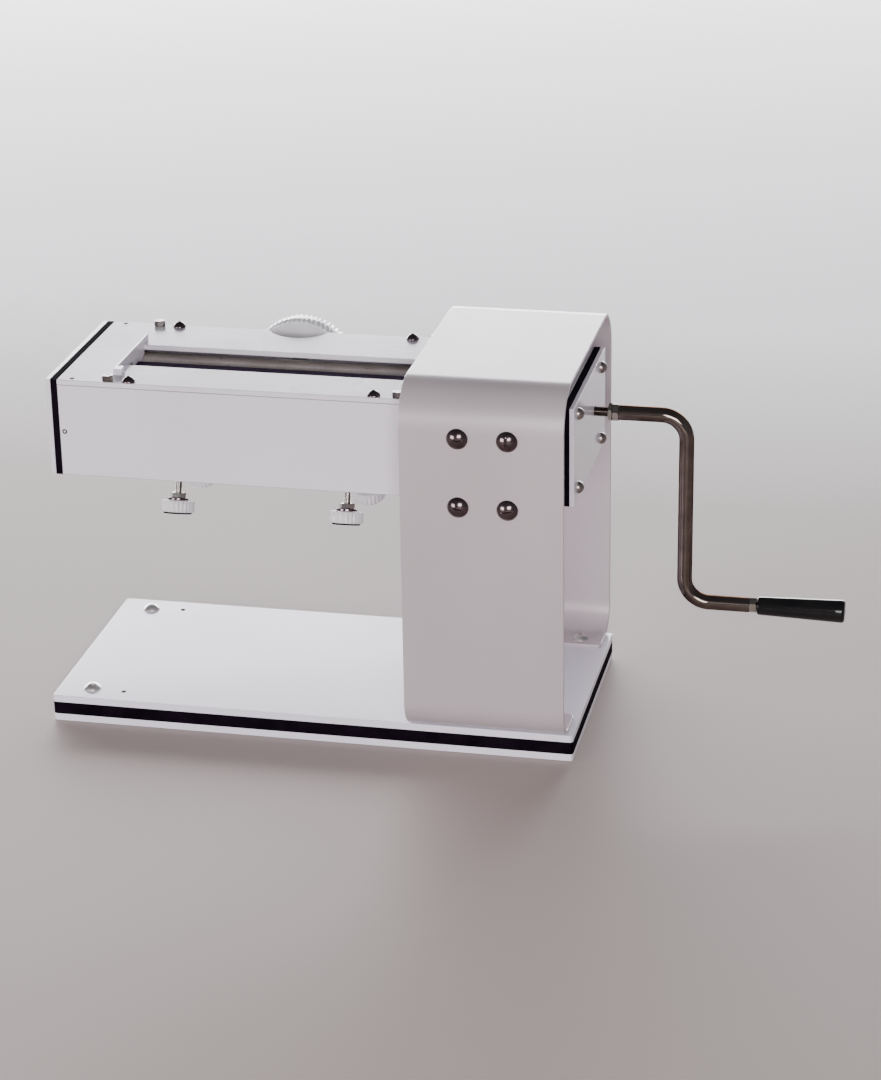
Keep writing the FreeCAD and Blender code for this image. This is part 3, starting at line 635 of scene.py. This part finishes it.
# crank, its nuts and the grip

crankLine = {"y": 22.25, "shaftZ": 250.0, "gripZ": 91.4}
nutSettings = {
    "crank": {"node": "crank_nuts", "rows": [(222.5, 3.6), (226.1, 5.2)], "across": 13.0, "hole": 4.0,
              "z": crankLine["shaftZ"]},
    "grip": {"node": "grip_nut", "rows": [(338.3, 6.0)], "across": 11.0, "hole": 3.0, "z": crankLine["gripZ"]},
}


def addNuts(table):
    for name, s in table.items():
        bm = bmesh.new()
        reach = hexReach(s["across"])
        face = s["across"] * hexShape["face"]
        hole = s["hole"]
        for k, (x, thick) in enumerate(s["rows"]):
            shoulder = hexShoulder(s["across"], thick)
            rings = [(hole, 0), (face, 0), (reach, lambda a: thick - shoulder(a)), (reach, shoulder),
                     (face, thick), (hole + 0.4, thick), (hole, thick - 0.3), (hole, 0)]
            made = ringStack(bm, 48, rings, capLow=False, capHigh=False)
            turned = seat((x, crankLine["y"], s["z"]), (1, 0, 0), math.pi / 6 + k * 0.25)
            bmesh.ops.transform(bm, matrix=turned, verts=made)
        makePiece(bm, name + "Nuts", [s["node"]], "nut_steel")


gripSettings = {"x": 344.8, "long": 70.2, "near": 7.4, "far": 9.4, "hole": 3.05, "deep": 63.2,
                "stations": (6, 20, 35, 50, 62)}


def addGrip(s):
    long, near, far = s["long"], s["near"], s["far"]
    slope = (far - near) / long
    rings = [(s["hole"], s["deep"]), (s["hole"], 0), (near - 1.3, 0), (near - 0.55, 0.15),
             (near - 0.12, 0.6), (near + slope * 1.3, 1.3)]
    rings += [(near + slope * z, z) for z in s["stations"]]
    edge = long - 2.6
    rings += [(near + slope * edge, edge), (far - 0.25, long - 1.6), (far - 0.85, long - 0.75),
              (far - 1.8, long - 0.2), (far - 3.0, long), (2.2, long), (1.9, long - 0.4)]
    bm = bmesh.new()
    made = ringStack(bm, 64, rings)
    spot = (s["x"], crankLine["y"], crankLine["gripZ"])
    bmesh.ops.transform(bm, matrix=seat(spot, (1, 0, 0)), verts=made)
    makePiece(bm, "handGrip", ["grip"])


shaftSettings = {"start": -201.0, "step": 189.7, "thread": 208.0, "tail": 243.3, "thick": 6.0, "thin": 4.0,
                 "pitch": 1.25}


def addShaft(s):
    thick, thin, step = s["thick"], s["thin"], s["step"]
    rings = [(thick - 0.6, s["start"]), (thick, s["start"] + 0.6), (thick, step - 0.4),
             (thick - 0.4, step), (thin, step), (thin, s["thread"])]
    bm = bmesh.new()
    made = ringStack(bm, 48, rings)
    made += addThread(bm, thin, s["pitch"], s["thread"], s["tail"], 24)
    spot = (0, crankLine["y"], crankLine["shaftZ"])
    bmesh.ops.transform(bm, matrix=seat(spot, (1, 0, 0)), verts=made)
    makePiece(bm, "driveShaftRod", ["drive_shaft"])


addNuts(nutSettings)
addGrip(gripSettings)
addShaft(shaftSettings)
print("crank nuts, grip and shaft made")


# knobs on threaded studs

knobSettings = {
    "x": {"left": -118.0, "right": 22.0}, "y": {"front": -30.5, "rear": 19.5}, "z": 206.0, "lean": 20.0,
    "drop": {"frontLeft": 0.0, "frontRight": 0.0, "rearLeft": 0.0, "rearRight": 8.0},
    "reach": 36.8, "radius": 13.4, "height": 11.0, "ribs": 24, "depth": 0.75,
    "stud": 3.0, "pitch": 1.0, "core": 2.6, "tip": 5.5, "washer": 8.6, "washerThick": 1.9,
    "collar": 11.0, "collarHigh": 4.4, "collarTurn": 28.0,
}


def ribReach(radius, depth, ribs):
    # rounded ribs with narrow grooves between them
    def reach(a):
        t = (a * ribs / (2 * math.pi)) % 1.0
        groove = max(0.0, 1 - abs(t - 0.5) / 0.3)
        return radius - depth * groove ** 0.6
    return reach


def addKnob(s, name, nodeName, place):
    # ribbed rim, a recess below with the underside in a near-black finish, and a shallow dish on top
    half, wide = s["height"] / 2, s["radius"]
    reach = ribReach(wide, s["depth"], s["ribs"])
    soft = ribReach(wide - 0.45, s["depth"] * 0.8, s["ribs"])
    rings = [(3.0, -half + 1.2), (6.2, -half + 1.2), (6.6, -half + 0.9), (6.8, -half + 0.1), (7.4, -half),
             (wide - 2.3, -half), (wide - 2.1, -half + 0.2), (wide - 2.0, -half + 1.2),
             (soft, -half + 1.5), (reach, -half + 2.0), (reach, half - 0.9), (soft, half - 0.35),
             (wide - 1.6, half), (8.9, half), (8.7, half - 0.3), (3.2, half - 0.3)]
    bm = bmesh.new()
    made = ringStack(bm, s["ribs"] * 8, rings)
    # faces on the underside, below the rib, take the near-black core finish
    for face in bm.faces:
        face.material_index = int(face.calc_center_median().z < (-half + 1.25) * mm)
    bmesh.ops.transform(bm, matrix=place, verts=made)
    makePiece(bm, name, [nodeName], sharp=40, second="black_core")


def addStud(s, name, nodeName, place):
    # threaded rod with a hex collar and a dark washer on the knob
    half, core = s["height"] / 2, s["core"]
    base = half + 0.02
    low = base + s["washerThick"]
    high = low + s["collarHigh"]
    bm = bmesh.new()
    made = addThread(bm, s["stud"], s["pitch"], -half + 2.2, s["reach"] + s["tip"])
    nut = hexReach(s["collar"])
    flat = s["collar"] * hexShape["face"]
    shoulder = hexShoulder(s["collar"], s["collarHigh"])
    collar = ringStack(bm, 48, [(core, low), (flat, low), (nut, lambda a: high - shoulder(a)),
                                (nut, lambda a: low + shoulder(a)), (flat, high), (core, high)])
    bmesh.ops.rotate(bm, verts=collar, cent=(0, 0, 0),
                     matrix=Matrix.Rotation(math.radians(s["collarTurn"]), 3, "Z"))
    wide = s["washer"]
    washer = ringStack(bm, 40, [(core, base), (wide - 0.3, base), (wide, base + 0.3),
                                (wide, low - 0.3), (wide - 0.3, low), (core, low)])
    for face in {f for v in washer for f in v.link_faces}:
        face.material_index = 1
    bmesh.ops.transform(bm, matrix=place, verts=made + collar + washer)
    makePiece(bm, name, [nodeName], "bright_steel", second="dark_screw")


def addKnobs(s):
    lean = math.radians(s["lean"])
    for corner, drop in s["drop"].items():
        row = "front" if corner.startswith("front") else "rear"
        column = corner[len(row):].lower()
        side = -1 if row == "front" else 1
        up = Vector((0, -side * math.sin(lean), math.cos(lean)))
        foot = Vector((s["x"][column], s["y"][row], s["z"]))
        place = seat(foot - up * (s["reach"] + drop), up)
        addKnob(s, corner + "Knob", row + "_" + column + "_knob", place)
        addStud(s, corner + "Stud", row + "_" + column + "_stud", place)


addKnobs(knobSettings)
print("knobs and studs made")


# thickness dial

dialSettings = {"x": -44.0, "y": 77.5, "z": 250.0, "radius": 43.7, "wide": 17.5, "ribs": 66, "depth": 1.25,
                "hole": 5.0}


def addDial(s):
    reach = ribReach(s["radius"], s["depth"], s["ribs"])
    soft = ribReach(s["radius"] - 0.5, s["depth"] * 0.8, s["ribs"])
    wide, big, hole = s["wide"], s["radius"], s["hole"]
    # front face with two rings, the ribbed rim, then the dished back
    rings = [(hole, 0), (12, 0), (12.6, 0.6), (15, 0.6), (15.6, 0), (big - 4.2, 0), (big - 3.8, 0.4),
             (big - 3.2, 0.4), (big - 2.8, 0), (big - 1.7, 0), (soft, 0.3), (reach, 0.9),
             (reach, wide - 0.9), (soft, wide - 0.3), (big - 1.7, wide), (big - 4.5, wide),
             (big - 5.1, wide - 2.2), (16, wide - 2.2), (15.4, wide), (hole, wide), (hole, 0)]
    bm = bmesh.new()
    made = ringStack(bm, s["ribs"] * 6, rings, capLow=False, capHigh=False)
    bmesh.ops.transform(bm, matrix=seat((s["x"], s["y"], s["z"]), (0, 1, 0)), verts=made)
    makePiece(bm, "thicknessDial", ["dial_wheel"], sharp=40)


addDial(dialSettings)
print("dial made")


# camera, floor and light

cameraSettings = {
    "place": (0.56685, -2.16333, 1.05419),
    "right": (0.97774, 0.20922, -0.0160),
    "up": (-0.0654, 0.37631, 0.92418),
    "lens": 98.6, "sensor": 36, "reach": 60,
}


def addCamera(s):
    data = bpy.data.cameras.new("photoCamera")
    data.lens = s["lens"]
    data.sensor_width = s["sensor"]
    data.clip_end = s["reach"]
    camera = bpy.data.objects.new("photoCamera", data)
    right, up = Vector(s["right"]).normalized(), Vector(s["up"]).normalized()
    back = right.cross(up).normalized()
    turned = Matrix((right, back.cross(right), back)).transposed().to_4x4()
    camera.matrix_world = Matrix.Translation(s["place"]) @ turned
    bpy.context.scene.collection.objects.link(camera)
    bpy.context.scene.camera = camera


floorSettings = {
    "half": 3.9, "cells": 8, "drop": 0.0004, "rough": 0.6, "mottle": 0.8, "sweep": (0.45, 1.0),
    "near": (0.47, 0.39, 0.37), "soft": (0.44, 0.362, 0.342), "far": (0.85, 0.85, 0.87),
}


def addFloor(s):
    bm = bmesh.new()
    bmesh.ops.create_grid(bm, x_segments=s["cells"], y_segments=s["cells"], size=s["half"])
    mesh = bpy.data.meshes.new("floor")
    bm.to_mesh(mesh)
    bm.free()
    finish, tree, shader = newFinish("paleFloor")
    share = cloud(tree, spread(tree), s["mottle"], detail=3)
    depth = tree.nodes.new("ShaderNodeSeparateXYZ")
    tree.links.new(spread(tree), depth.inputs[0])
    away = between(tree, depth.outputs["Y"], *s["sweep"])   # paler towards the back
    tone = mixTint(tree, away, mixTint(tree, share, s["near"], s["soft"]), s["far"])
    tree.links.new(tone, shader.inputs["Base Color"])
    shader.inputs["Roughness"].default_value = s["rough"]
    mesh.materials.append(finish)
    floor = bpy.data.objects.new("floor", mesh)
    floor.location.z = -s["drop"]
    bpy.context.scene.collection.objects.link(floor)


lightSettings = {
    "window": {"place": (-1.6, 4.0, 1.0), "aim": (0, 0, 0.55), "size": (7.6, 2.0), "power": 690,
               "tint": (0.965, 0.965, 1.0)},
    "leftBox": {"place": (-2.3, -2.6, 0.5), "aim": (0, 0, 0.15), "size": (1.6, 1.2), "power": 70,
                "tint": (1.0, 0.985, 0.985)},
    "rightBox": {"place": (0.9, -3.3, 1.25), "aim": (0.15, 0, 0.15), "size": (1.6, 1.2), "power": 90,
                 "tint": (1.0, 0.975, 0.97)},
}


skySettings = {"low": (0.24, 0.237, 0.243), "high": (0.12, 0.12, 0.13), "rise": (0.2, 0.95),
               "backdrop": (0.74, 0.74, 0.755)}


def addLights(s, sky):
    for name, row in s.items():
        data = bpy.data.lights.new(name, "AREA")
        data.shape = "RECTANGLE"
        data.size, data.size_y = row["size"]
        data.energy = row["power"]
        data.color = row["tint"]
        lamp = bpy.data.objects.new(name, data)
        lamp.location = row["place"]
        toward = Vector(row["aim"]) - Vector(row["place"])
        lamp.rotation_euler = toward.to_track_quat("-Z", "Y").to_euler()
        lamp.visible_camera = False
        bpy.context.scene.collection.objects.link(lamp)
    world = bpy.data.worlds.new("studio")
    world.use_nodes = True
    tree = world.node_tree
    where = tree.nodes.new("ShaderNodeTexCoord")
    height = tree.nodes.new("ShaderNodeSeparateXYZ")
    tree.links.new(where.outputs["Generated"], height.inputs[0])
    tone = mixTint(tree, between(tree, height.outputs["Z"], *sky["rise"]), sky["low"], sky["high"])
    rays = tree.nodes.new("ShaderNodeLightPath")   # the backdrop is paler than the light it gives
    tone = mixTint(tree, rays.outputs["Is Camera Ray"], tone, sky["backdrop"])
    tree.links.new(tone, tree.nodes["Background"].inputs["Color"])
    tree.nodes["Background"].inputs["Strength"].default_value = 1.0
    bpy.context.scene.world = world


addCamera(cameraSettings)
addFloor(floorSettings)
addLights(lightSettings, skySettings)
print("camera, floor and lights set")
